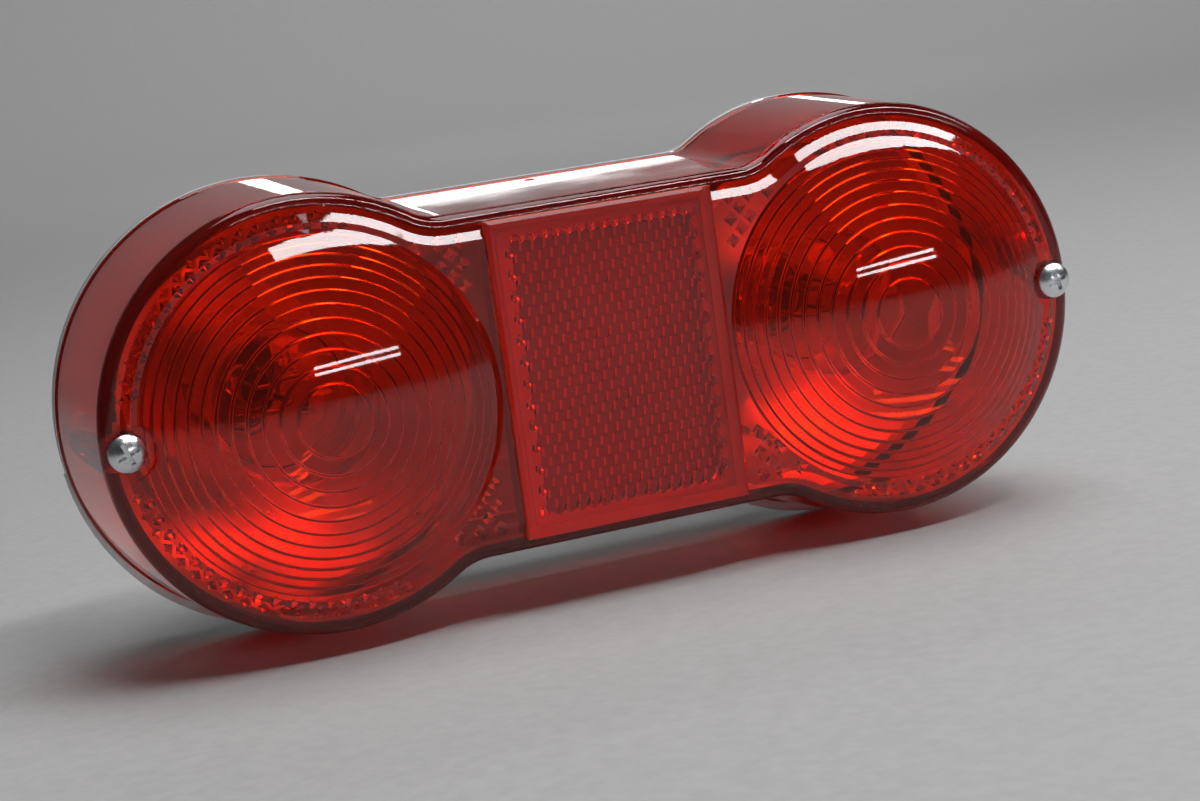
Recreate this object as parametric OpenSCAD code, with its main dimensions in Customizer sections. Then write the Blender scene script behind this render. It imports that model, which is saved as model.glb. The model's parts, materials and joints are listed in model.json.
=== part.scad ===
// Twin-round motorcycle tail light: two domed lamps joined by a waist with a reflex reflector.
// Millimetres. X runs along the lamp, the lens faces -Y, +Z is up.
// The origin is the middle of the flat rear face of the base, where the lamp is bolted on.

/* [Lens] */
// Distance between the middles of the two domes
centre_distance = 121.8; // [116:0.2:136]
// Radius of the round ends at the front edge of the lens
end_radius = 43; // [41.5:0.5:47]
// Inward radius where the waist runs into a round end
neck_radius = 12; // [9:0.5:16]
// Strip of lens between the reflector and the edge of the waist
waist_margin = 2.576; // [2.4:0.002:3]
// Depth of the lens from its flat face to its rear edge
lens_depth = 40.4; // [38:0.2:46]
// How far the side wall leans outward by its rear edge
wall_flare = 2.6; // [2:0.1:3]
// Thickness of the side wall
wall = 2.6; // [2.2:0.1:2.8]
// Thickness of the flat face
face_thick = 3; // [2.6:0.1:3.4]
// Rounding of the front edge
edge_round = 2.5; // [1.5:0.1:2.8]
// Drop from the flat face to the outer band
band_drop = 1.2; // [0.8:0.1:1.6]
// Width of the outer band
band_width = 4; // [3.4:0.1:4.6]

/* [Domes] */
// Radius of a dome where it leaves the flat face
dome_radius = 36; // [35:0.2:37]
// Height of a dome above the flat face
dome_height = 11; // [9:0.5:14]
// Thickness of a dome between the rings
dome_wall = 3; // [2.6:0.1:3.4]
// Number of rings inside a dome
ring_count = 11; // [8:1:12]
// Radius of the plain eye inside the rings
eye_radius = 7.1; // [6:0.1:8]
// Height of the step at each ring
ring_step = 0.9; // [0.6:0.1:1.2]

/* [Prisms] */
// Width across the corners of a diamond prism
diamond = 4.4; // [4:0.2:6]
// Height of a diamond prism
diamond_height = 1.1; // [0.8:0.1:1.4]
// Width across the flats of a reflex prism
cube_pitch = 2.5; // [2.4:0.1:3.6]

/* [Reflex reflector] */
// Width of the reflector block
reflex_width = 47.8; // [44:0.2:48]
// Height of the reflector block
reflex_height = 63.6; // [60:0.2:64]
// How far the block stands out from the flat face
reflex_proud = 1.5; // [1:0.1:2.4]
// Width of the plain border around the prisms
reflex_border = 2.3; // [2.3:0.1:4]

/* [Lens screws] */
// Distance of each screw from the middle of its dome
screw_offset = 38.4; // [38:0.1:39]
// Thread diameter of the lens screws
screw_thread = 4; // [3.5:0.5:5]
// Diameter of a screw head
screw_head = 7.2; // [7:0.1:8]
// Height of a screw head
screw_head_height = 2.6; // [2.2:0.1:3]
// Radius of the round pocket around a screw head
pocket_radius = 5.6; // [5.2:0.1:6]

/* [Base] */
// Thickness of the base sheet
sheet = 1.2; // [1:0.1:1.6]
// Depth of the pan behind its flange
pan_depth = 12.4; // [11:0.2:15]
// Radius of the round ends of the pan
pan_radius = 34.4; // [33.6:0.2:34.6]
// Half the height of the pan's waist
pan_waist = 25; // [22:0.5:27]
// How far the lip stands out under the lens
lip = 2.2; // [1:0.1:3]
// Thickness of the lens gasket
gasket_thick = 2; // [1.6:0.1:3]
// Distance between the mounting studs
stud_spacing = 50; // [44:1:56]
// Thread diameter of the mounting studs
stud_thread = 6; // [5:1:8]
// Length of a stud behind the base
stud_length = 18; // [14:1:24]

/* [Bulbs] */
// Diameter of the bulb glass
glass_diameter = 25; // [23:0.5:26]
// Diameter of the bulb cap
cap_diameter = 15; // [14.6:0.1:15.4]
// Height of the bulb's widest place above the rear face of the base
glass_middle = 34; // [32:0.5:36]
// Depth of the bright bowl behind a bulb, from its rim to its foot
bowl_depth = 11.5; // [10:0.5:15]
// How far a bulb can be pressed in
push = 2; // [1.5:0.1:2.4]
// Number of turns in a contact spring
spring_turns = 4; // [3:1:5]

/* [Hidden] */
$fn = 64;

red = [0.72, 0.03, 0.03];
pale_red = [0.85, 0.12, 0.1];
steel = [0.82, 0.82, 0.8];
bright = [0.92, 0.92, 0.92];
brass = [0.83, 0.68, 0.35];
rubber = [0.1, 0.1, 0.1];
phenolic = [0.42, 0.25, 0.13];
clear = [0.9, 0.95, 0.97];
cream = [0.88, 0.86, 0.8];

half_c = centre_distance / 2;
waist_half = reflex_height / 2 + waist_margin;
// Middle of a neck curve, which touches a round end and the waist
neck_y = waist_half + neck_radius;
neck_x = half_c - sqrt(pow(end_radius + neck_radius, 2) - pow(neck_y, 2));

flange_front = pan_depth + sheet;
flange_reach = max(end_radius - pan_radius, waist_half - pan_waist) + 2 * sheet;
lip_reach = 6;
stud_relief = 0.7;
stud_neck = stud_thread / 2 - 0.4;
lens_rear = flange_front + gasket_thick;
face = lens_rear + lens_depth;
band = face - band_drop;
bead = 1.2;
tongue = 0.6;
lap = 1.2;
band_step = 1.7;
ring_reach = max(end_radius - dome_radius, band_width + band_step) + lap;

dome_sphere = (pow(dome_radius, 2) + pow(dome_height, 2)) / (2 * dome_height);
dome_middle = face + dome_height - dome_sphere;
// Half sizes of the flat plate between the domes
plate_y = waist_half - end_radius + dome_radius;
plate_x = half_c - sqrt(pow(dome_radius, 2) - pow(plate_y, 2)) + 2 * lap;
cavity = dome_radius - 1.5;
ring_mean = (cavity - eye_radius) / ring_count;
ring_fall = 2 * 0.3 * ring_mean / max(1, ring_count - 1);

screw_x = half_c + screw_offset;
seat = face - 0.4;
boss_radius = 4.2;
boss_rear = lens_rear + 8.4;
post_top = boss_rear - 0.5;
post_radius = 3.6;
thread_radius = screw_thread / 2 - 0.05;

clear_fit = 0.15;
reflex_ledge = 2;
reflex_seat = face - 1.5;
reflex_rear = face - face_thick - 0.4;
reflex_front = face + reflex_proud;
reflex_bevel = 0.6;
cube_step = cube_pitch / sqrt(6);
cube_root = reflex_rear - 0.15;
cube_columns = floor((reflex_width - 2 * reflex_border - 1.4) / cube_pitch - 0.5);
cube_rows = floor((reflex_height - 2 * reflex_border - 1.4) / (cube_pitch * sqrt(3) / 2) - 0.4);
tray_floor = cube_root - 2 * cube_step - 1;
tray_wall = 1;

cap_radius = cap_diameter / 2;
cap_sheet = 0.4;
cap_rear = 0.6;
cap_front = 16.4;
shell_inner = cap_radius + 0.3;
shell_outer = shell_inner + 0.6;
shell_front = 17;
shell_rear = -15.4;
shell_lip = 0.8;
bowl_seat = sheet + 1.8;
pin_height = 9.5;
pin_stagger = 3;
pin_radius = 1;
pin_reach = shell_outer + 0.5;
slot_half = pin_radius + 0.3;
slot_turn = 32;
glass_radius = glass_diameter / 2;
glass_wall = 0.6;
neck_glass = cap_radius - cap_sheet - 0.2;
stem_top = 24.6;
disc_front = -2.4;
disc_rear = -4.6;
contact_x = 3.2;
contact_face = -1.4;
insulator_rear = -0.3;
wire = 0.55;
spring_radius = 5;
spring_front = disc_rear - wire - 0.02;
spring_rear = shell_rear + shell_lip + wire + 0.02;
spring_pitch = (spring_front - spring_rear) / spring_turns;
spring_steps = 8 * spring_turns;
echo(spring_gap = spring_pitch - 2 * wire);
bowl_clear = 1.4;
bowl_rim = min(screw_offset - post_radius, pan_radius - sheet) - bowl_clear;
bowl_wall = 0.9;
bowl_flat = 14;
bowl_rise = (pow(bowl_rim, 2) - pow(bowl_flat, 2) + pow(bowl_depth, 2)) / (2 * bowl_depth);
bowl_sphere = sqrt(pow(bowl_flat, 2) + pow(bowl_rise, 2));
bowl_middle = bowl_seat + bowl_rise;
post_spigot = 2.9;
rivet_head = 3.9;
boot_radius = shell_outer + 1.6;
boot_rear = shell_rear - 3.6;

// Turns the lamp from front up to front facing -Y
module facing() {
  rotate([90, 0, 0]) children();
}

// Puts a left-hand piece at the middle of its dome
module at_left() {
  facing() translate([-half_c, 0, 0]) children();
}

// Puts a right-hand piece at the middle of its dome
module at_right() {
  facing() translate([half_c, 0, 0]) children();
}

// Carries a profile right around the outline: across is the offset outward, up is the depth.
// A tongue inside the profile ties each pair of stretches together.
module around() {
  for (flip_x = [0, 1])
    mirror([flip_x, 0, 0]) difference() {
      translate([half_c, 0, 0]) rotate_extrude($fn = 120) translate([end_radius, 0]) children();
      translate([0, 0, -lens_depth]) linear_extrude(height = 3 * face)
        polygon([[half_c, 0], [neck_x, neck_y], [-half_c, neck_y], [-half_c, -neck_y], [neck_x, -neck_y]]);
    }
  for (flip_x = [0, 1], flip_y = [0, 1])
    mirror([flip_x, 0, 0]) mirror([0, flip_y, 0]) intersection() {
      translate([neck_x, neck_y, 0]) rotate_extrude() translate([neck_radius, 0]) mirror([1, 0]) children();
      translate([0, 0, -lens_depth]) linear_extrude(height = 3 * face)
        polygon([[neck_x, neck_y], [neck_x, 0], [half_c, 0]]);
    }
  for (flip_y = [0, 1])
    mirror([0, flip_y, 0]) translate([-neck_x, waist_half, 0])
      rotate([90, 0, 90]) linear_extrude(height = 2 * neck_x) children();
  for (flip_x = [0, 1], flip_y = [0, 1])
    mirror([flip_x, 0, 0]) mirror([0, flip_y, 0]) {
      intersection() {
        translate([half_c, 0, 0]) rotate_extrude($fn = 120) translate([end_radius, 0])
          offset(delta = -tongue / 10) children();
        translate([0, 0, -lens_depth]) linear_extrude(height = 3 * face)
          polygon([[half_c, 0], [neck_x + tongue, neck_y], [neck_x - tongue, neck_y]]);
      }
      translate([neck_x - tongue, waist_half, 0]) rotate([90, 0, 90]) linear_extrude(height = 2 * tongue)
        offset(delta = -tongue / 10) children();
    }
}

// Cross-section of the lens wall, rounded edge, outer band and flat flange
module wall_profile() {
  foot = wall_flare - 0.35;
  polygon([
    [wall_flare, lens_rear],
    [wall_flare, lens_rear + bead],
    [foot, lens_rear + bead + 0.35],
    [0, band - edge_round],
    [-edge_round, band],
    [-band_width, band + 0.1],
    [-band_width - band_step, face],
    [-ring_reach, face],
    [-ring_reach, face - face_thick],
    [-wall - 0.2, face - face_thick],
    [wall_flare - wall, lens_rear]
  ]);
  intersection() {
    translate([-edge_round, band - edge_round]) circle(r = edge_round);
    translate([-edge_round, band - edge_round]) square([edge_round, edge_round]);
  }
}

function dome_at(r) = dome_middle + sqrt(pow(dome_sphere, 2) - r * r);
function inner_at(r) = dome_at(r) - dome_wall;
function ring_at(i) = eye_radius + i * (ring_mean + ring_fall * (ring_count - 1) / 2)
  - ring_fall * i * (i - 1) / 2;

// Inside of a dome: a plain eye, then rings that each slope and step
module dome_cavity() {
  rings = [for (i = [0 : ring_count - 1], end = [0, 1])
    [ring_at(i + end), inner_at(ring_at(i + end)) + (end - 0.5) * ring_step]];
  low = face - face_thick - 1;
  rotate_extrude($fn = 160)
    polygon(concat([[0, low], [0, inner_at(0) + ring_step / 2],
      [eye_radius, inner_at(eye_radius) + ring_step / 2]], rings, [[cavity, low]]));
}

module dome() {
  difference() {
    intersection() {
      translate([0, 0, dome_middle]) sphere(r = dome_sphere, $fn = 240);
      translate([0, 0, face - face_thick])
        cylinder(r = dome_radius, h = face_thick + dome_height + 1, $fn = 160);
    }
    dome_cavity();
  }
}

// Diamond prisms under the flat flange: straight rows in the corners beside the reflector
function corner_cells() = [
  for (i = [-30 : 30], j = [-20 : 20])
    let (x = (i + (j % 2 == 0 ? 0 : 0.5)) * diamond, y = j * diamond / 2, r = norm([abs(x) - half_c, y]))
      if (abs(x) - diamond / 2 > reflex_width / 2 + 0.9
        && abs(x) + diamond / 2 < neck_x + 9
        && r - diamond / 2 > cavity + 0.2
        && abs(y) + diamond / 2 < waist_half - wall - 0.4) [x, y, diamond / 2, diamond / 2, 0]];

// Two staggered rows that run around each dome, clear of the screw bosses
rim_in = cavity + 0.2;
rim_half = (end_radius - wall - 0.3 - rim_in) / 3;
rim_count = floor(PI * (rim_in + 1.5 * rim_half) / rim_half);
rim_turn = 360 / rim_count;
function rim_cells() = [
  for (s = [-1, 1], row = [1, 2], i = [-rim_count / 2 : rim_count / 2])
    let (turn = (i + row / 2) * rim_turn, r = rim_in + row * rim_half)
      if (abs(turn) < 110 && abs(turn) * PI / 180 * r > boss_radius + 2 * rim_half)
        [s * (half_c + r * cos(turn)), r * sin(turn), rim_half, r * sin(rim_turn / 2),
          s > 0 ? turn : 180 - turn]];

module diamonds() {
  root = face - face_thick + 0.4;
  tip = face - face_thick - diamond_height;
  for (c = concat(corner_cells(), rim_cells())) {
    out = (c[2] - 0.05) * [cos(c[4]), sin(c[4])];
    side = (c[3] - 0.05) * [-sin(c[4]), cos(c[4])];
    polyhedron(
      points = [[c.x + out.x, c.y + out.y, root], [c.x + side.x, c.y + side.y, root],
        [c.x - out.x, c.y - out.y, root], [c.x - side.x, c.y - side.y, root], [c.x, c.y, tip]],
      faces = [[3, 2, 1, 0], [0, 1, 4], [1, 2, 4], [2, 3, 4], [3, 0, 4]]);
  }
}

module lens() {
  color(red) facing() difference() {
    union() {
      around() wall_profile();
      difference() {
        translate([-plate_x, -plate_y, face - face_thick]) cube([2 * plate_x, 2 * plate_y, face_thick]);
        for (s = [-1, 1])
          translate([s * half_c, 0, face - face_thick - 1])
            cylinder(r = dome_radius - 0.8, h = face_thick + 2);
      }
      for (s = [-1, 1]) {
        translate([s * half_c, 0, 0]) dome();
        translate([s * screw_x, 0, boss_rear])
          cylinder(r = boss_radius, h = face - face_thick - boss_rear + 0.5);
      }
      diamonds();
    }
    for (s = [-1, 1]) {
      translate([s * screw_x, 0, seat]) cylinder(r = pocket_radius, h = dome_height);
      translate([s * screw_x, 0, boss_rear - 1]) cylinder(r = screw_thread / 2 + 0.25, h = lens_depth);
    }
    translate([-reflex_width / 2 - clear_fit, -reflex_height / 2 - clear_fit, reflex_seat])
      cube([reflex_width + 2 * clear_fit, reflex_height + 2 * clear_fit, 10]);
    inner_x = reflex_width / 2 - reflex_ledge + clear_fit;
    inner_y = reflex_height / 2 - reflex_ledge + clear_fit;
    translate([-inner_x, -inner_y, face - face_thick - 1]) cube([2 * inner_x, 2 * inner_y, 10]);
  }
}

// One corner of a hexagon, from whole numbers, so that neighbours share it exactly
function cube_corner(u, v, level) = [
  (u - cube_columns) * cube_pitch / 2,
  (v - 1.5 * (cube_rows - 1)) * cube_pitch / (2 * sqrt(3)),
  cube_root - level * cube_step];
cube_around = [[1, 1], [0, 2], [-1, 1], [-1, -1], [0, -2], [1, -1]];
cube_levels = [0, 1, 0, 1, 0, 1];
cube_back = -0.6 / cube_step;

// Cube-corner prisms on the back of the reflector: each hexagon holds three square faces at 90 degrees
module cube_field() {
  cells = [for (j = [0 : cube_rows - 1], i = [0 : cube_columns - 1]) [2 * i + 1 + j % 2, 3 * j]];
  middles = [for (c = cells) each concat(
    [for (k = [0 : 5]) cube_corner(c.x + cube_around[k].x, c.y + cube_around[k].y, cube_levels[k])],
    [cube_corner(c.x, c.y, 2)],
    [for (k = [0 : 5]) cube_corner(c.x + cube_around[k].x, c.y + cube_around[k].y, cube_back)])];
  faces = [for (n = [0 : len(cells) - 1])
    let (o = 13 * n, j = floor(n / cube_columns), i = n % cube_columns, odd = j % 2) each concat(
      [for (k = [1, 3, 5]) [o + (k + 5) % 6, o + k, o + 6]],
      [for (k = [1, 3, 5]) [o + k, o + (k + 1) % 6, o + 6]],
      [[for (k = [5 : -1 : 0]) o + 7 + k]],
      [for (k = [0 : 5]) if (cube_open(k, i, j, odd))
        [o + (k + 1) % 6, o + k, o + 7 + k, o + 7 + (k + 1) % 6]])];
  polyhedron(points = middles, faces = faces);
}

// True where the side k of the hexagon in column i and row j has no neighbour
function cube_open(k, i, j, odd) =
  k == 0 ? j == cube_rows - 1 || (odd == 1 && i == cube_columns - 1)
  : k == 1 ? j == cube_rows - 1 || (odd == 0 && i == 0)
  : k == 2 ? i == 0
  : k == 3 ? j == 0 || (odd == 0 && i == 0)
  : k == 4 ? j == 0 || (odd == 1 && i == cube_columns - 1)
  : i == cube_columns - 1;

// Flat slab with bevelled front edges
module bevelled_slab(w, h, low, high, bevel) {
  intersection() {
    rotate([90, 0, 0]) translate([0, 0, -h / 2]) linear_extrude(height = h)
      polygon([[-w / 2, low], [w / 2, low], [w / 2, high - bevel], [w / 2 - bevel, high],
        [bevel - w / 2, high], [-w / 2, high - bevel]]);
    rotate([90, 0, 90]) translate([0, 0, -w / 2]) linear_extrude(height = w)
      polygon([[-h / 2, low], [h / 2, low], [h / 2, high - bevel], [h / 2 - bevel, high],
        [bevel - h / 2, high], [-h / 2, high - bevel]]);
  }
}

module reflex_reflector() {
  w = reflex_width - 2 * reflex_ledge;
  h = reflex_height - 2 * reflex_ledge;
  color(pale_red) facing() union() {
    bevelled_slab(reflex_width, reflex_height, reflex_seat, reflex_front, reflex_bevel);
    translate([-w / 2, -h / 2, reflex_rear]) cube([w, h, reflex_seat - reflex_rear + 0.5]);
    cube_field();
  }
}

// Shallow tray that keeps the prisms dry from behind
module reflex_back() {
  w = reflex_width - 2 * reflex_ledge + 1.4 + 2 * tray_wall;
  h = reflex_height - 2 * reflex_ledge + 0.4 + 2 * tray_wall;
  top = face - face_thick;
  color(cream) facing() difference() {
    translate([-w / 2, -h / 2, tray_floor - tray_wall]) cube([w, h, top - tray_floor + tray_wall]);
    translate([tray_wall - w / 2, tray_wall - h / 2, tray_floor])
      cube([w - 2 * tray_wall, h - 2 * tray_wall, top - tray_floor + 1]);
  }
}

module lens_screw() {
  crown = 5.2;
  color(bright) difference() {
    union() {
      intersection() {
        translate([0, 0, seat]) cylinder(r = screw_head / 2, h = screw_head_height);
        translate([0, 0, seat + screw_head_height - crown]) sphere(r = crown, $fn = 120);
      }
      translate([0, 0, pan_depth]) cylinder(r = thread_radius, h = seat - pan_depth + 0.5);
    }
    for (turn = [0, 90])
      rotate([0, 0, turn + 20]) translate([-2.2, -0.5, seat + screw_head_height - 1.5]) cube([4.4, 1, 3]);
  }
}

module lens_screw_left() {
  facing() translate([-screw_x, 0, 0]) lens_screw();
}

module lens_screw_right() {
  facing() translate([screw_x, 0, 0]) lens_screw();
}

module lens_gasket() {
  color(rubber) facing() around()
    translate([-0.8, flange_front]) square([wall_flare + 0.6, gasket_thick]);
}

// Filled shape of the pan: two round ends and a plain waist
module pan_block(inset, low, high) {
  for (s = [-1, 1])
    translate([s * half_c, 0, low]) cylinder(r = pan_radius - inset, h = high - low);
  translate([-half_c, inset - pan_waist, low]) cube([2 * half_c, 2 * (pan_waist - inset), high - low]);
}

module base_pan() {
  color(steel) facing() difference() {
    union() {
      around() translate([-flange_reach, pan_depth]) square([wall_flare + flange_reach, sheet]);
      intersection() {
        translate([0, -lip, 0]) around()
          translate([-lip_reach, pan_depth]) square([wall_flare + lip_reach, sheet]);
        translate([-2 * half_c, -2 * half_c, 0]) cube([4 * half_c, 2 * half_c - 8, lens_rear]);
      }
      pan_block(0, 0, flange_front);
    }
    pan_block(sheet, sheet, flange_front + 1);
    for (s = [-1, 1]) {
      translate([s * half_c, 0, -1]) cylinder(r = shell_outer + 0.1, h = sheet + 2);
      translate([s * screw_x, 0, pan_depth - 1]) cylinder(r = post_spigot + 0.1, h = sheet + 2);
      translate([s * stud_spacing / 2, 0, -1]) cylinder(r = stud_neck + 0.1, h = sheet + 2);
    }
  }
}

module screw_post() {
  color(steel) difference() {
    union() {
      translate([0, 0, flange_front]) cylinder(r = post_radius, h = post_top - flange_front);
      translate([0, 0, pan_depth - 1.6]) cylinder(r = post_spigot, h = sheet + 2);
      translate([0, 0, pan_depth - 1.6]) cylinder(r = rivet_head, h = 1.6);
    }
    translate([0, 0, pan_depth - 3]) cylinder(r = screw_thread / 2, h = post_top);
  }
}

module screw_post_left() {
  facing() translate([-screw_x, 0, 0]) screw_post();
}

module screw_post_right() {
  facing() translate([screw_x, 0, 0]) screw_post();
}

// Studs with a relief groove where the thread runs out, and a head inside the pan
module mounting_studs() {
  color(steel) facing() for (s = [-1, 1]) translate([s * stud_spacing / 2, 0, 0]) {
    translate([0, 0, 0.8 - stud_length]) cylinder(r = stud_thread / 2, h = stud_length - 0.8 - stud_relief);
    translate([0, 0, -stud_length]) cylinder(r1 = stud_thread / 2 - 0.8, r2 = stud_thread / 2, h = 0.8);
    translate([0, 0, -stud_relief - 1]) cylinder(r = stud_neck, h = stud_relief + sheet + 1.4);
    translate([0, 0, sheet]) cylinder(r = stud_thread + 0.5, h = 1.8);
  }
}

// Bright bowl behind a dome, pressed from sheet, with a flat foot on the socket
module bowl() {
  color(bright) difference() {
    intersection() {
      translate([0, 0, bowl_middle]) sphere(r = bowl_sphere, $fn = 160);
      translate([0, 0, bowl_seat]) cylinder(r = bowl_sphere + 1, h = bowl_depth);
    }
    intersection() {
      translate([0, 0, bowl_middle]) sphere(r = bowl_sphere - bowl_wall, $fn = 160);
      translate([0, 0, bowl_seat + bowl_wall]) cylinder(r = bowl_sphere + 1, h = bowl_sphere);
    }
    translate([0, 0, bowl_seat - 1]) cylinder(r = shell_outer + 0.1, h = bowl_wall + 2);
  }
}

module bowl_left() {
  at_left() bowl();
}

module bowl_right() {
  at_right() bowl();
}

// Way of one bulb pin: in from the front, around, and back up into its rest
module pin_way(height) {
  low = height - push - slot_half;
  deep = pin_reach + 0.3;
  translate([4, -slot_half, low]) cube([deep - 4, 2 * slot_half, push + 2 * slot_half]);
  rotate([0, 0, slot_turn / 2]) translate([4, -slot_half - 1.4, low - 0.2])
    cube([deep - 4, 2 * slot_half + 2.8, 2 * slot_half + 0.2]);
  rotate([0, 0, slot_turn]) translate([4, -slot_half, low - 0.1])
    cube([deep - 4, 2 * slot_half, shell_front]);
}

module socket_shell() {
  color(steel) difference() {
    union() {
      translate([0, 0, shell_rear]) cylinder(r = shell_outer, h = shell_front - shell_rear);
      translate([0, 0, -1]) cylinder(r = shell_outer + 2.2, h = 1);
      translate([0, 0, sheet]) cylinder(r = shell_outer + 3.6, h = bowl_seat - sheet);
      translate([0, 0, bowl_seat + bowl_wall]) cylinder(r = shell_outer + 1.4, h = 0.7);
    }
    translate([0, 0, shell_rear + shell_lip]) cylinder(r = shell_inner, h = shell_front - shell_rear);
    translate([0, 0, shell_rear - 1]) cylinder(r = spring_radius - 0.4, h = 3);
    pin_way(pin_height);
    rotate([0, 0, 180]) pin_way(pin_height + pin_stagger);
  }
}

module socket_shell_left() {
  at_left() socket_shell();
}

module socket_shell_right() {
  at_right() socket_shell();
}

// Rubber boot on the rear of a socket, with a hole for each wire
module socket_boot() {
  color(rubber) difference() {
    union() {
      translate([0, 0, shell_rear - 0.5]) cylinder(r = boot_radius, h = 9);
      translate([0, 0, boot_rear])
        cylinder(r1 = boot_radius - 2.2, r2 = boot_radius, h = shell_rear - 0.5 - boot_rear);
      translate([0, 0, shell_rear + 6.5]) cylinder(r = boot_radius + 0.8, h = 2);
    }
    translate([0, 0, shell_rear]) cylinder(r = shell_outer + 0.1, h = 12);
    for (s = [-1, 1])
      translate([s * contact_x, 0, boot_rear - 1]) cylinder(r = 1.1, h = 8);
  }
}

module socket_boot_left() {
  at_left() socket_boot();
}

module socket_boot_right() {
  at_right() socket_boot();
}

module contact_disc() {
  color(phenolic) difference() {
    translate([0, 0, disc_rear]) cylinder(r = shell_inner - 0.5, h = disc_front - disc_rear);
    for (s = [-1, 1])
      translate([s * contact_x, 0, disc_rear - 1]) cylinder(r = 0.9, h = 5);
  }
}

module contact_disc_left() {
  at_left() contact_disc();
}

module contact_disc_right() {
  at_right() contact_disc();
}

module contact_rivets() {
  color(brass) for (s = [-1, 1]) translate([s * contact_x, 0, 0]) {
    translate([0, 0, disc_front]) cylinder(r = 1.9, h = contact_face - disc_front);
    translate([0, 0, disc_rear - 2.4]) cylinder(r = 0.8, h = disc_front - disc_rear + 2.8);
  }
}

module contact_rivets_left() {
  at_left() contact_rivets();
}

module contact_rivets_right() {
  at_right() contact_rivets();
}

// Coil spring as one tube, with rings set square to the wire
module contact_spring() {
  rise = spring_pitch / 360;
  tilt = atan(spring_pitch / (2 * PI * spring_radius));
  points = [for (n = [0 : spring_steps], k = [0 : 5])
    let (turn = n * 45, side = k * 60, out = wire * cos(side), up = wire * sin(side))
      [(spring_radius + out) * cos(turn) + up * sin(tilt) * sin(turn),
        (spring_radius + out) * sin(turn) - up * sin(tilt) * cos(turn),
        spring_rear + turn * rise + up * cos(tilt)]];
  last = 6 * spring_steps;
  faces = concat(
    [[for (k = [0 : 5]) k]],
    [for (n = [0 : spring_steps - 1], k = [0 : 5])
      let (a = 6 * n + k, b = 6 * n + (k + 1) % 6) [a, a + 6, b]],
    [for (n = [0 : spring_steps - 1], k = [0 : 5])
      let (a = 6 * n + k, b = 6 * n + (k + 1) % 6) [b, a + 6, b + 6]],
    [[for (k = [5 : -1 : 0]) last + k]]);
  color(bright) polyhedron(points = points, faces = faces);
}

module contact_spring_left() {
  at_left() contact_spring();
}

module contact_spring_right() {
  at_right() contact_spring();
}

// Filled shape of the bulb, drawn in by the given amount
module bulb_block(inset) {
  shoulder = glass_middle - 0.52 * glass_radius;
  translate([0, 0, glass_middle]) sphere(r = glass_radius - inset, $fn = 120);
  translate([0, 0, cap_front]) cylinder(r1 = neck_glass - inset, r2 = 0.85 * glass_radius - inset,
    h = shoulder - cap_front);
  translate([0, 0, cap_front - 4]) cylinder(r = neck_glass - inset, h = 4);
}

module bulb_glass() {
  color(clear) difference() {
    bulb_block(0);
    bulb_block(glass_wall);
    translate([0, 0, cap_front - 5]) cylinder(r = neck_glass - glass_wall, h = 3);
  }
}

module bulb_glass_left() {
  at_left() bulb_glass();
}

module bulb_glass_right() {
  at_right() bulb_glass();
}

// Cap with its two locking pins at different heights
module bulb_cap() {
  color(brass) {
    difference() {
      translate([0, 0, cap_rear]) cylinder(r = cap_radius, h = cap_front - cap_rear);
      translate([0, 0, cap_rear - 1]) cylinder(r = cap_radius - cap_sheet, h = cap_front + 2);
    }
    for (side = [0, 180])
      rotate([0, 0, side]) translate([cap_radius - 0.3, 0, pin_height + (side > 0 ? pin_stagger : 0)])
        rotate([0, 90, 0]) cylinder(r = pin_radius, h = pin_reach - cap_radius + 0.3);
  }
}

module bulb_cap_left() {
  at_left() bulb_cap();
}

module bulb_cap_right() {
  at_right() bulb_cap();
}

module bulb_stem() {
  color(clear) {
    translate([0, 0, cap_front - 4]) cylinder(r = neck_glass - glass_wall - 0.1, h = 1);
    translate([0, 0, cap_front - 3.5]) cylinder(r = 2.4, h = stem_top - 2 - cap_front + 3.5);
    translate([-4.2, -2.9, stem_top - 2.6]) cube([8.4, 5.8, 2.6]);
  }
}

module bulb_stem_left() {
  at_left() bulb_stem();
}

module bulb_stem_right() {
  at_right() bulb_stem();
}

// Two filaments, each hung between its own pair of leads
module filaments() {
  color(steel) for (side = [-1, 1]) {
    top = glass_middle + side;
    for (s = [-1, 1])
      translate([s * 3.5, side * 2.2, stem_top]) cylinder(r = 0.3, h = top - stem_top, $fn = 24);
    translate([-3.5, side * 2.2, top]) rotate([0, 90, 0]) cylinder(r = 0.35, h = 7, $fn = 24);
  }
}

module filaments_left() {
  at_left() filaments();
}

module filaments_right() {
  at_right() filaments();
}

module bulb_insulator() {
  color(rubber) translate([0, 0, insulator_rear]) cylinder(r = cap_radius - cap_sheet - 0.1, h = 2);
}

module bulb_insulator_left() {
  at_left() bulb_insulator();
}

module bulb_insulator_right() {
  at_right() bulb_insulator();
}

module bulb_contacts() {
  color(steel) for (s = [-1, 1])
    translate([s * contact_x, 0, contact_face])
      cylinder(r1 = 1.2, r2 = 1.7, h = insulator_rear - contact_face);
}

module bulb_contacts_left() {
  at_left() bulb_contacts();
}

module bulb_contacts_right() {
  at_right() bulb_contacts();
}

lens();
reflex_reflector();
reflex_back();
lens_screw_left();
lens_screw_right();
lens_gasket();
base_pan();
screw_post_left();
screw_post_right();
mounting_studs();
bowl_left();
bowl_right();
socket_shell_left();
socket_shell_right();
socket_boot_left();
socket_boot_right();
contact_disc_left();
contact_disc_right();
contact_rivets_left();
contact_rivets_right();
contact_spring_left();
contact_spring_right();
bulb_glass_left();
bulb_glass_right();
bulb_cap_left();
bulb_cap_right();
bulb_stem_left();
bulb_stem_right();
filaments_left();
filaments_right();
bulb_insulator_left();
bulb_insulator_right();
bulb_contacts_left();
bulb_contacts_right();
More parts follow.
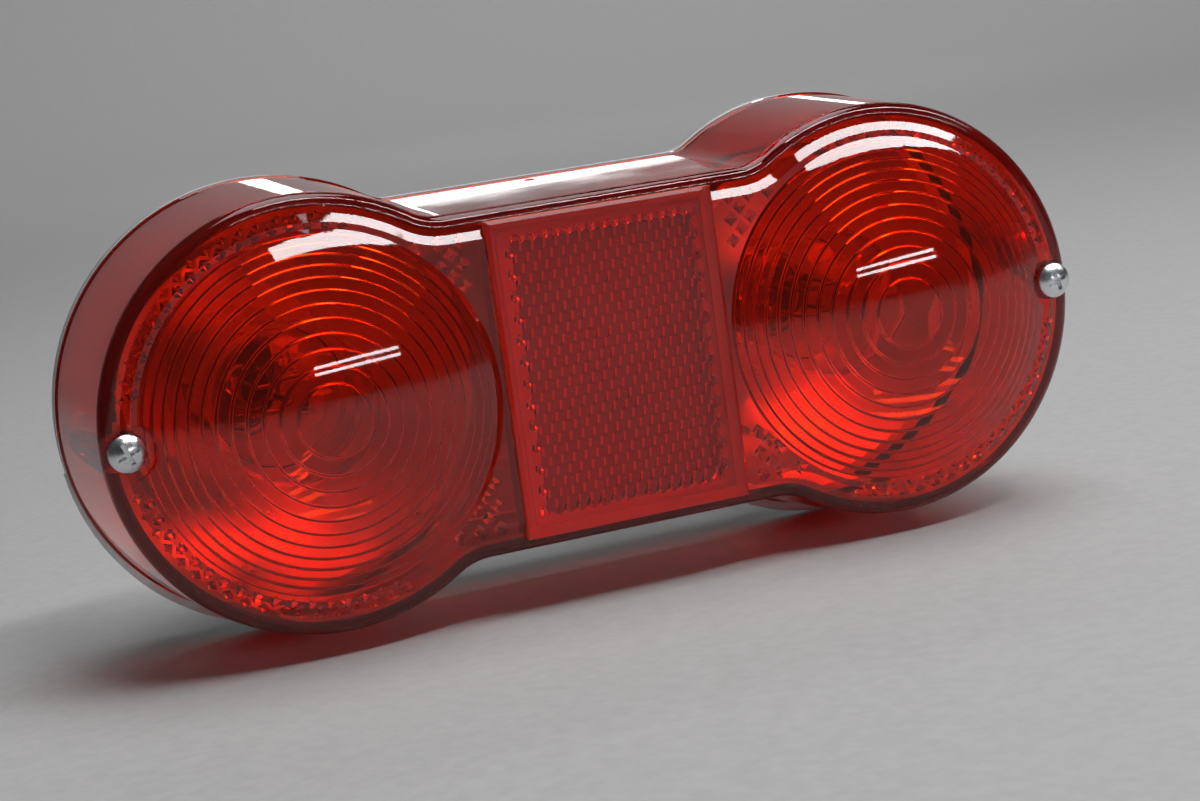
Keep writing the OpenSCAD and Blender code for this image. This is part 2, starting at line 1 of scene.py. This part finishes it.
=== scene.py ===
"""Dresses the twin-dome tail light: red acrylic, plated metal, rubber and glass, in a plain studio."""
import json
import math

import bmesh
import bpy
from mathutils import Matrix, Vector


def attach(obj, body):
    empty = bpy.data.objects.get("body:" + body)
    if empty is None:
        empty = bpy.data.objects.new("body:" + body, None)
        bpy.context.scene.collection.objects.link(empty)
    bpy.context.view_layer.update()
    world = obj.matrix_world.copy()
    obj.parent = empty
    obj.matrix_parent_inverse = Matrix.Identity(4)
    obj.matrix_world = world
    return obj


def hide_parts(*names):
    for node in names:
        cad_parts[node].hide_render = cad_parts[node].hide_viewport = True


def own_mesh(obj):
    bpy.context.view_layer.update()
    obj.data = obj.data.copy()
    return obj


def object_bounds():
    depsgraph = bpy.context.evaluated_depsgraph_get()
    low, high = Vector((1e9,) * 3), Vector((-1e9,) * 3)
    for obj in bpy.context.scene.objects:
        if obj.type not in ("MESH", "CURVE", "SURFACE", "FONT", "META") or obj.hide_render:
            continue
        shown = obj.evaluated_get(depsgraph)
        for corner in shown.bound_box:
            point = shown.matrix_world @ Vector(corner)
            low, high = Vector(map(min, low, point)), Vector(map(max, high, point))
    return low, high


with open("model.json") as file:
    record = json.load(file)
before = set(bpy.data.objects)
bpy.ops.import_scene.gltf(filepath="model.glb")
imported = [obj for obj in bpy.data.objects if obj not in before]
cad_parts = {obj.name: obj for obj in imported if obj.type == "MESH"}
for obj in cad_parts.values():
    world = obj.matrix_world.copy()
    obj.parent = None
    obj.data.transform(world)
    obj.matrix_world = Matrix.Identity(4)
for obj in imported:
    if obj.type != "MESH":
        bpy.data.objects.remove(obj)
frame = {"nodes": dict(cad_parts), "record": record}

cad_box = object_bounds()
NODES = frame["nodes"]

# Camera, from the photograph's viewing angle, in metres.
CAMERA_PLACE = Vector((-0.168563, -0.526831, 0.069288))
CAMERA_LOOK = Vector((0.32415, 0.93382, -0.15136))
CAMERA_UP = Vector((0.17880, 0.09664, 0.97913))
CAMERA_NEAR_CLIP = 0.01
CAMERA_LENS_MM = 75.893
SENSOR_MM = 36.0

# The lens, in metres: places of the dome axes, the flat face, the rear edge and the domes.
HALF_CENTRES = 0.0609
FACE_Y = -0.056
LENS_REAR_Y = -0.0156
DOME_RADIUS = 0.036
DOME_HEIGHT = 0.011
DOME_SPHERE = (DOME_RADIUS**2 + DOME_HEIGHT**2) / (2 * DOME_HEIGHT)
DOME_MIDDLE_Y = FACE_Y - DOME_HEIGHT + DOME_SPHERE
END_SECTOR = math.radians(122.4)

# The rings inside a dome: each a slope and a step, closer towards the edge.
PLATE_WALL = 0.003
PLATE_REAR_Y = FACE_Y + PLATE_WALL
DOME_WALL = 0.003
INSIDE_DEPTH = 0.001
EYE_RADIUS = 0.0071
RING_MARGIN = 0.0015
RING_REACH = DOME_RADIUS - RING_MARGIN
RING_COUNT = 11
RING_STEP = 0.0009
RING_SPREAD = 0.3
RING_DRAFT = 0.0001
RING_ROUND = 0.0003
RING_TURNS = 240

# Fineness of the lens: how far an edge may stand off a turned face, and how often edges are halved.
LENS_FINENESS = 7e-6
LENS_PASSES = 5
LENS_SHARP = math.radians(28)

# Clear faces that touch render black, so a glued face stands off by this much.
GLUE = 0.00005

# The reflector in the waist, and the rounded ridges of its prisms.
REFLEX_HALF_WIDTH = 0.0239
REFLEX_MARGIN = 0.001
REFLEX_SEAT_DEPTH = 0.0015
REFLEX_SEAT_Y = FACE_Y + REFLEX_SEAT_DEPTH
REFLEX_FLAT = math.radians(0.5)
REFLEX_SHARP = math.radians(20)
RIDGE_LEAST_HEIGHT = 0.001
RIDGE_ROUND = 0.00042
RIDGE_STEPS = 3
ROUND_PROFILE = 0.5

# The reflector's glued sides face along an axis, to within this cosine. A mesh attribute marks matt faces.
GLUED_SIDE_COSINE = 0.999
MATT = "matt"

# The moulding's gate mark.
GATE_PLACE = (-0.002, -0.0215, 0.03635)
GATE_HALF_SIZES = (0.0012, 0.0009, 0.00018)

# Tolerances for comparing places, in metres.
WELD = 1e-7
SAME_PLACE = 1e-6
ON_SPHERE = 2e-6
ON_EDGE = 1e-5
AT_AXIS = 2e-4

# Acrylic and glass: refraction, and how fast the acrylic tints the light that crosses it.
ACRYLIC_IOR = 1.49
ACRYLIC_DENSITY = 600
GLASS_IOR = 1.52

# Most values of a noise lie between these.
NOISE_LOW = 0.3
NOISE_HIGH = 0.7

# The studio, in metres: a round floor that bends up into a backdrop, and the air's faint light.
FLOOR_FLAT = 2.5
FLOOR_REACH = 4.5
BACKDROP_HEIGHT = 4.0
FLOOR_BEND_STEPS = 24
FLOOR_TURNS = 96
PART_MIDDLE = (0, -0.04, 0)
AIR_COLOUR = (0.55, 0.56, 0.58, 1)
AIR_STRENGTH = 0.1


# Node trees
class Tree:
    """A material's node tree, with short calls for the nodes that the finishes share."""

    def __init__(self, name):
        self.material = bpy.data.materials.new(name)
        self.material.use_nodes = True
        self.tree = self.material.node_tree
        self.tree.nodes.clear()
        self.output = self.add("ShaderNodeOutputMaterial")

    def add(self, kind, **sockets):
        """A node, with values or links for its sockets; an underscore stands for a space in a name."""
        node = self.tree.nodes.new(kind)
        for name, value in sockets.items():
            self.feed(node.inputs[name.replace("_", " ")], value)
        return node

    def feed(self, socket, value):
        if isinstance(value, bpy.types.NodeSocket):
            self.tree.links.new(value, socket)
        else:
            socket.default_value = value

    def noise(self, scale, detail, roughness=0.55):
        """Noise on the object's own coordinates, in metres."""
        place = self.add("ShaderNodeTexCoord").outputs["Object"]
        node = self.add(
            "ShaderNodeTexNoise", Vector=place, Scale=scale, Detail=detail, Roughness=roughness)
        return node.outputs["Fac"]

    def attribute(self, name):
        """A number that the mesh holds, or 0 where it holds none."""
        node = self.add("ShaderNodeAttribute")
        node.attribute_name = name
        return node.outputs["Fac"]

    def larger(self, *values):
        node = self.add("ShaderNodeMath")
        node.operation = "MAXIMUM"
        for socket, value in zip(node.inputs, values):
            self.feed(socket, value)
        return node.outputs[0]

    def spread(self, value, low, high, start=NOISE_LOW, end=NOISE_HIGH):
        """Maps a value between start and end to low and high."""
        node = self.add(
            "ShaderNodeMapRange", Value=value, From_Min=start, From_Max=end, To_Min=low, To_Max=high)
        return node.outputs[0]

    def shades(self, noise, dark, pale):
        """A colour ramp, from dark where the noise is low to pale where it is high."""
        node = self.add("ShaderNodeValToRGB", Fac=noise)
        stops = ((NOISE_LOW, dark), (NOISE_HIGH, pale))
        for element, (place, colour) in zip(node.color_ramp.elements, stops):
            element.position = place
            element.color = (*colour, 1)
        return node.outputs["Color"]

    def bump(self, height, distance):
        return self.add("ShaderNodeBump", Height=height, Distance=distance, Strength=1.0).outputs[0]

    def surface(self, **sockets):
        shader = self.add("ShaderNodeBsdfPrincipled", **sockets)
        self.tree.links.new(shader.outputs[0], self.output.inputs["Surface"])

    def tint_through(self, colour, density):
        """Absorption through the thickness of a clear piece."""
        volume = self.add("ShaderNodeVolumeAbsorption", Color=(*colour, 1), Density=density)
        self.tree.links.new(volume.outputs[0], self.output.inputs["Volume"])


def clear_red(name, polish, red_kept):
    """Transparent red moulding: the colour deepens with the thickness that light crosses.

    Faces that the mesh marks as matt scatter the light instead: rounded ridges and glued edges.
    """
    t = Tree(name)
    matt = t.attribute(MATT)
    rough = t.spread(t.noise(90, 4), polish, polish + 0.03)
    t.surface(
        Base_Color=(1.0, 0.20, 0.10, 1),
        Roughness=t.larger(rough, t.spread(matt, 0, 0.45, start=0, end=1)),
        IOR=ACRYLIC_IOR,
        Transmission_Weight=t.spread(matt, 0.99, 0.2, start=0, end=1),
    )
    t.tint_through((red_kept, 0.58, 0.0), ACRYLIC_DENSITY)
    return t.material


def metal(name, dark, pale, rough, bump=0.00002):
    """Plated metal with a fine grain and faint clouding."""
    t = Tree(name)
    grain = t.noise(400, 6, 0.7)
    t.surface(
        Base_Color=t.shades(t.noise(60, 5), dark, pale),
        Metallic=1.0,
        Roughness=t.spread(grain, rough, rough * 1.8 + 0.03),
        Normal=t.bump(grain, bump),
    )
    return t.material


def moulded(name, dark, pale, rough):
    """Moulded rubber or plastic: soft mottling and a fine skin."""
    t = Tree(name)
    skin = t.noise(900, 4, 0.65)
    t.surface(
        Base_Color=t.shades(t.noise(70, 5), dark, pale),
        Roughness=t.spread(skin, rough, rough + 0.15),
        Normal=t.bump(skin, 0.00005),
    )
    return t.material


def clear_glass(name):
    """Bulb glass with a faint swirl in its polish."""
    t = Tree(name)
    t.surface(
        Base_Color=(0.985, 0.99, 0.99, 1),
        Roughness=t.spread(t.noise(40, 2), 0.0, 0.02),
        IOR=GLASS_IOR,
        Transmission_Weight=1.0,
    )
    return t.material


def floor_paper(name):
    """Plain pale paper with a fine fibre."""
    t = Tree(name)
    fibre = t.noise(300, 4)
    t.surface(
        Base_Color=t.shades(fibre, (0.41, 0.41, 0.41), (0.45, 0.45, 0.45)),
        Roughness=0.75,
        Normal=t.bump(fibre, 0.0001),
    )
    return t.material


FINISHES = {
    "red_acrylic": clear_red("red_acrylic", 0.01, 0.97),
    "reflector_red": clear_red("reflector_red", 0.02, 0.997),
    "gate_pip": moulded("gate_pip", (0.36, 0.02, 0.015), (0.48, 0.03, 0.02), 0.25),
    "backing_plastic": moulded("backing_plastic", (0.48, 0.46, 0.42), (0.58, 0.56, 0.52), 0.45),
    "zinc_screw": metal("zinc_screw", (0.62, 0.64, 0.66), (0.80, 0.82, 0.84), 0.18),
    "seal_rubber": moulded("seal_rubber", (0.012, 0.012, 0.013), (0.03, 0.03, 0.031), 0.55),
    "gasket_foam": moulded("gasket_foam", (0.56, 0.55, 0.53), (0.68, 0.67, 0.65), 0.6),
    "base_steel": metal("base_steel", (0.66, 0.67, 0.68), (0.80, 0.81, 0.82), 0.28),
    "plated_steel": metal("plated_steel", (0.62, 0.62, 0.60), (0.78, 0.77, 0.74), 0.25),
    "bright_plate": metal("bright_plate", (0.86, 0.87, 0.88), (0.93, 0.93, 0.94), 0.24, bump=0.000002),
    "phenolic": moulded("phenolic", (0.10, 0.045, 0.02), (0.17, 0.08, 0.035), 0.5),
    "contact_brass": metal("contact_brass", (0.70, 0.50, 0.20), (0.86, 0.66, 0.32), 0.25),
    "spring_steel": metal("spring_steel", (0.45, 0.46, 0.47), (0.62, 0.63, 0.64), 0.25),
    "bulb_glass": clear_glass("bulb_glass"),
    "filament_wire": metal("filament_wire", (0.30, 0.30, 0.31), (0.45, 0.45, 0.46), 0.35),
    "black_insulator": moulded("black_insulator", (0.01, 0.01, 0.012), (0.025, 0.025, 0.03), 0.2),
    "solder": metal("solder", (0.50, 0.51, 0.52), (0.66, 0.67, 0.68), 0.35),
}

for part in frame["record"]["subparts"]:
    node = NODES[part["node"]]
    node.data.materials.clear()
    node.data.materials.append(FINISHES[part["material_slot"]])

# The gasket shares the boots' slot, but it is pale foam.
NODES["lens_gasket"].data.materials[0] = FINISHES["gasket_foam"]


# New pieces
def add_object(name, data):
    thing = bpy.data.objects.new(name, data)
    bpy.context.collection.objects.link(thing)
    return thing


def smooth_with_edges(mesh, sharp):
    """Smooth shading, except at edges that turn by more than an angle."""
    mesh.shade_smooth()
    mesh.set_sharp_from_angle(angle=sharp)


def welded_copy(name):
    """A node's mesh with its double points joined."""
    solid = bmesh.new()
    solid.from_mesh(NODES[name].data)
    bmesh.ops.remove_doubles(solid, verts=solid.verts, dist=WELD)
    return solid


def lift_off_glue(solid, level):
    """Moves the points of a glued face forward, off what it touches."""
    for vert in solid.verts:
        if abs(vert.co.y - level) < SAME_PLACE:
            vert.co.y -= GLUE


# Lens
def dome_y(radius):
    """Depth of a dome's outside at a radius from its axis."""
    return DOME_MIDDLE_Y - math.sqrt(DOME_SPHERE**2 - radius**2)


class Turned:
    """A point seen from the nearer dome axis: radius, angle from the outward direction, and its faces."""

    def __init__(self, point):
        self.point = point
        self.side = 1 if point.x > 0 else -1
        out = self.side * point.x - HALF_CENTRES
        self.radius = math.hypot(out, point.z)
        self.angle = math.atan2(point.z, out)
        self.on_dome = self.radius < DOME_RADIUS + ON_EDGE
        self.on_end = abs(self.angle) < END_SECTOR
        to_middle = math.hypot(self.radius, point.y - DOME_MIDDLE_Y)
        self.on_sphere = self.on_dome and abs(to_middle - DOME_SPHERE) < ON_SPHERE

    def inside_dome(self):
        return self.radius < RING_REACH + ON_EDGE and self.point.y > dome_y(self.radius) + INSIDE_DEPTH


def turned_middle(a, b):
    """The point halfway along a turned face, or None where the straight edge is close enough."""
    if a.side != b.side or not (a.on_dome and b.on_dome or a.on_end and b.on_end):
        return None
    radius = (a.radius + b.radius) / 2
    turn = (b.angle - a.angle + math.pi) % (2 * math.pi) - math.pi
    if min(a.radius, b.radius) < AT_AXIS:
        angle = (a if a.radius > b.radius else b).angle
        turn = 0
    else:
        angle = a.angle + turn / 2
    sphere = a.on_sphere and b.on_sphere
    bulge = (a.point - b.point).length_squared / (8 * DOME_SPHERE) if sphere else 0
    if max(radius * (1 - math.cos(turn / 2)), bulge) < LENS_FINENESS:
        return None
    depth = dome_y(radius) if sphere else (a.point.y + b.point.y) / 2
    return Vector((a.side * (HALF_CENTRES + radius * math.cos(angle)), depth, radius * math.sin(angle)))


def split_triangle(corners, middles):
    """The triangles that a triangle becomes when some of its sides get a point in the middle."""
    a, b, c = corners
    ab, bc, ca = middles
    count = sum(m is not None for m in middles)
    if count == 0:
        return [corners]
    if count == 3:
        return [(a, ab, ca), (ab, b, bc), (ca, bc, c), (ab, bc, ca)]
    if count == 1:
        while ab is None:
            a, b, c, ab, bc, ca = b, c, a, bc, ca, ab
        return [(a, ab, c), (ab, b, c)]
    while ca is not None:
        a, b, c, ab, bc, ca = b, c, a, bc, ca, ab
    return [(ab, b, bc), (a, ab, bc), (a, bc, c)]


def triangle_sides(corners):
    """The sides of a triangle as pairs of point numbers, the smaller one first."""
    a, b, c = corners
    return [(min(pair), max(pair)) for pair in ((a, b), (b, c), (c, a))]


def halved(points, faces):
    """The triangles with their coarse edges halved; the new points join the list."""
    halves = {}
    for face in faces:
        for side in triangle_sides(face):
            if side in halves:
                continue
            first, second = side
            middle = turned_middle(points[first], points[second])
            halves[side] = None
            if middle is not None:
                halves[side] = len(points)
                points.append(Turned(middle))
    split = []
    for face in faces:
        split += split_triangle(face, [halves[side] for side in triangle_sides(face)])
    return split


def lens_shell():
    """The lens without the inside of its domes, as turned points and triangles."""
    shell = welded_copy("lens")
    inner = [face for face in shell.faces if all(Turned(v.co).inside_dome() for v in face.verts)]
    bmesh.ops.delete(shell, geom=inner, context="FACES")
    lift_off_glue(shell, LENS_REAR_Y)
    bmesh.ops.triangulate(shell, faces=shell.faces)
    shell.verts.index_update()
    points = [Turned(v.co.copy()) for v in shell.verts]
    faces = [tuple(v.index for v in face.verts) for face in shell.faces]
    shell.free()
    return points, faces


def rounded_line(line, reach, steps=4, most=0.4):
    """A line of (radius, depth) points with its corners rounded, over at most a share of each stretch."""
    line = [Vector(p) for p in line]
    smooth = [line[0]]
    for before, corner, after in zip(line, line[1:], line[2:]):
        back, on = before - corner, after - corner
        start = corner + back.normalized() * min(reach, back.length * most)
        end = corner + on.normalized() * min(reach, on.length * most)
        for i in range(steps + 1):
            t = i / steps
            smooth.append((1 - t)**2 * start + 2 * t * (1 - t) * corner + t**2 * end)
    return smooth + [line[-1]]


def ring_line():
    """The inside of a dome from its eye to the plate: the rings' slopes and steps."""
    mean = (RING_REACH - EYE_RADIUS) / RING_COUNT
    fall = 2 * RING_SPREAD * mean / (RING_COUNT - 1)

    def edge(i):
        return EYE_RADIUS + i * (mean + fall * (RING_COUNT - 1) / 2) - fall * i * (i - 1) / 2

    def thin(radius):
        return dome_y(radius) + DOME_WALL - RING_STEP / 2

    def thick(radius):
        return dome_y(radius) + DOME_WALL + RING_STEP / 2

    line = [(0.0, thin(0)), (EYE_RADIUS - RING_DRAFT, thin(EYE_RADIUS))]
    for i in range(RING_COUNT):
        line.append((edge(i) + RING_DRAFT, thick(edge(i))))
        draft = 0 if i == RING_COUNT - 1 else RING_DRAFT
        line.append((edge(i + 1) - draft, thin(edge(i + 1))))
    line.append((RING_REACH, PLATE_REAR_Y))
    return rounded_line(line, RING_ROUND)


def add_rings(points, faces, side):
    """Turns the ring line about a dome axis and adds it to a mesh, facing the bulb."""
    line = ring_line()
    first = len(points)
    for i in range(RING_TURNS):
        turn = 2 * math.pi * i / RING_TURNS
        for radius, depth in line:
            out = HALF_CENTRES + radius * math.cos(turn)
            points.append(Vector((side * out, depth, side * radius * math.sin(turn))))
    for i in range(RING_TURNS):
        here, there = first + i * len(line), first + (i + 1) % RING_TURNS * len(line)
        for k in range(len(line) - 1):
            face = (here + k, there + k, there + k + 1, here + k + 1)
            faces.append((here, *face[2:]) if k == 0 else face)


def finer_lens():
    """The lens with rings, domes and round ends in finer steps, so that they refract as turned faces."""
    turned, faces = lens_shell()
    for _ in range(LENS_PASSES):
        faces = halved(turned, faces)
    points = [t.point for t in turned]
    for side in (-1, 1):
        add_rings(points, faces, side)
    mesh = bpy.data.meshes.new("lens_moulding")
    mesh.from_pydata(points, [], faces)
    smooth_with_edges(mesh, LENS_SHARP)
    mesh.materials.append(FINISHES["red_acrylic"])
    lens = add_object("lens_moulding", mesh)
    flat_walls = lens.modifiers.new("flat_walls", "WEIGHTED_NORMAL")
    flat_walls.keep_sharp = True
    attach(lens, "lens_unit")
    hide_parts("lens")


finer_lens()


# Reflector
def is_upright_ridge(edge):
    """Whether an edge is one of the slanted, upright ridges between two cube corners."""
    a, b = (v.co for v in edge.verts)
    slanted = abs(a.x - b.x) < SAME_PLACE < abs(a.y - b.y) and abs(a.z - b.z) > RIDGE_LEAST_HEIGHT
    return slanted and edge.is_convex and abs(a.x) < REFLEX_HALF_WIDTH - REFLEX_MARGIN


def prism_reflector():
    """The reflector with the upright ridges of its prisms rounded, which show as dashes from the front."""
    solid = welded_copy("reflex_reflector")
    bmesh.ops.dissolve_limit(solid, angle_limit=REFLEX_FLAT, verts=solid.verts, edges=solid.edges)
    lift_off_glue(solid, REFLEX_SEAT_Y)
    matt = solid.faces.layers.float.new(MATT)
    for face in solid.faces:
        glued = max(abs(face.normal.x), face.normal.y, abs(face.normal.z)) > GLUED_SIDE_COSINE
        face[matt] = 1.0 if glued else 0.0
    ridges = [edge for edge in solid.edges if is_upright_ridge(edge)]
    rounded = bmesh.ops.bevel(
        solid, geom=ridges, affect="EDGES", offset=RIDGE_ROUND, segments=RIDGE_STEPS, profile=ROUND_PROFILE,
        clamp_overlap=False)
    for face in rounded["faces"]:
        face[matt] = 1.0
    mesh = bpy.data.meshes.new("prism_reflector")
    solid.to_mesh(mesh)
    solid.free()
    smooth_with_edges(mesh, REFLEX_SHARP)
    mesh.materials.clear()
    mesh.materials.append(FINISHES["reflector_red"])
    reflector = add_object("prism_reflector", mesh)
    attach(reflector, "lens_unit")
    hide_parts("reflex_reflector")


prism_reflector()


# Gate mark
def gate_mark():
    """The low oval pip where the moulding was filled, on top of the waist by the rear edge."""
    pip = bmesh.new()
    bmesh.ops.create_uvsphere(pip, u_segments=32, v_segments=16, radius=1)
    bmesh.ops.scale(pip, vec=GATE_HALF_SIZES, verts=pip.verts)
    bmesh.ops.translate(pip, vec=GATE_PLACE, verts=pip.verts)
    mesh = bpy.data.meshes.new("gate_mark")
    pip.to_mesh(mesh)
    pip.free()
    mesh.shade_smooth()
    mesh.materials.append(FINISHES["gate_pip"])
    mark = add_object("gate_mark", mesh)
    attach(mark, "lens_unit")


gate_mark()


# Sockets
def contact_spring(side):
    """A coil spring behind the contact disc, moved onto the base on a mesh of its own."""
    mesh = NODES[f"contact_spring_{side}"].data.copy()
    spring = add_object(f"coil_spring_{side}", mesh)
    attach(spring, "base")
    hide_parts(f"contact_spring_{side}")
    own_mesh(spring)


contact_spring("left")
contact_spring("right")


# Studio
def area_light(name, place, aim, size, watts):
    """A soft rectangular lamp; its first side runs level."""
    light = bpy.data.lights.new(name, "AREA")
    light.shape = "RECTANGLE"
    light.size, light.size_y = size
    light.energy = watts
    lamp = add_object(name, light)
    away = (Vector(place) - Vector(aim)).normalized()
    across = Vector((0, 0, 1)).cross(away).normalized()
    turn = Matrix((across, away.cross(across), away)).transposed()
    lamp.matrix_world = Matrix.Translation(place) @ turn.to_4x4()
    return lamp


def studio_floor(level):
    """A round floor that sweeps up into a backdrop on all sides, far from the part."""
    bend = FLOOR_REACH - FLOOR_FLAT
    line = []
    for i in range(FLOOR_BEND_STEPS + 1):
        a = math.radians(90 * i / FLOOR_BEND_STEPS)
        line.append((FLOOR_FLAT + bend * math.sin(a), bend * (1 - math.cos(a))))
    line.append((FLOOR_REACH, BACKDROP_HEIGHT))
    points = [(0.0, 0.0, level)]
    for i in range(FLOOR_TURNS):
        turn = 2 * math.pi * i / FLOOR_TURNS
        points += [(r * math.cos(turn), r * math.sin(turn), level + z) for r, z in line]
    faces = []
    for i in range(FLOOR_TURNS):
        here, there = 1 + i * len(line), 1 + (i + 1) % FLOOR_TURNS * len(line)
        faces.append((0, here, there))
        faces += [(here + k, here + k + 1, there + k + 1, there + k) for k in range(len(line) - 1)]
    mesh = bpy.data.meshes.new("studio_floor")
    mesh.from_pydata(points, [], faces)
    mesh.shade_smooth()
    mesh.materials.append(floor_paper("floor_paper"))
    floor = add_object("studio_floor", mesh)


studio_floor(cad_box[0][2])

# The long strip draws the white lines along the rim step and round the domes.
area_light("long_strip", (1.125, -0.60, 1.23), (0.955, 0.08, 0), (2.3, 0.15), watts=19)

# The overhead lamp lights the part and the floor, the back wash the backdrop behind them.
area_light("overhead", (0.12, -0.08, 1.10), PART_MIDDLE, (0.9, 0.65), watts=7)
area_light("back_wash", (1.0, 2.2, 2.2), (1.0, 3.6, 0.2), (2.5, 1.0), watts=35)

# The rear strip shows in reflections only: the white band on the upper wall of the waist.
rear_strip = area_light("rear_strip", (0.85, 2.40, 0.458), (0.85, -0.04, 0), (1.2, 0.116), watts=1.6)
rear_strip.visible_diffuse = False

# Two narrow strips low in front, which each dome mirrors as a pair of short white lines.
area_light("low_strip_a", (1.10, -2.60, 0.50), PART_MIDDLE, (1.7, 0.05), watts=5)
area_light("low_strip_b", (1.10, -2.60, 0.62), PART_MIDDLE, (1.7, 0.05), watts=5)

world = bpy.data.worlds.new("studio_air")
world.use_nodes = True
background = world.node_tree.nodes["Background"]
background.inputs["Color"].default_value = AIR_COLOUR
background.inputs["Strength"].default_value = AIR_STRENGTH

# Light crosses many clear faces here, so its paths are longer than usual.
scene = bpy.context.scene
scene.world = world
scene.view_settings.view_transform = "Standard"
scene.cycles.max_bounces = 32
scene.cycles.transmission_bounces = 24
scene.cycles.glossy_bounces = 24

camera_data = bpy.data.cameras.new("photo_camera")
camera_data.lens = CAMERA_LENS_MM
camera_data.sensor_width = SENSOR_MM
camera_data.clip_start = CAMERA_NEAR_CLIP
camera = add_object("photo_camera", camera_data)
right = CAMERA_LOOK.cross(CAMERA_UP).normalized()
axes = Matrix((right, right.cross(CAMERA_LOOK).normalized(), -CAMERA_LOOK.normalized())).transposed()
camera.matrix_world = Matrix.Translation(CAMERA_PLACE) @ axes.to_4x4()
scene.camera = camera
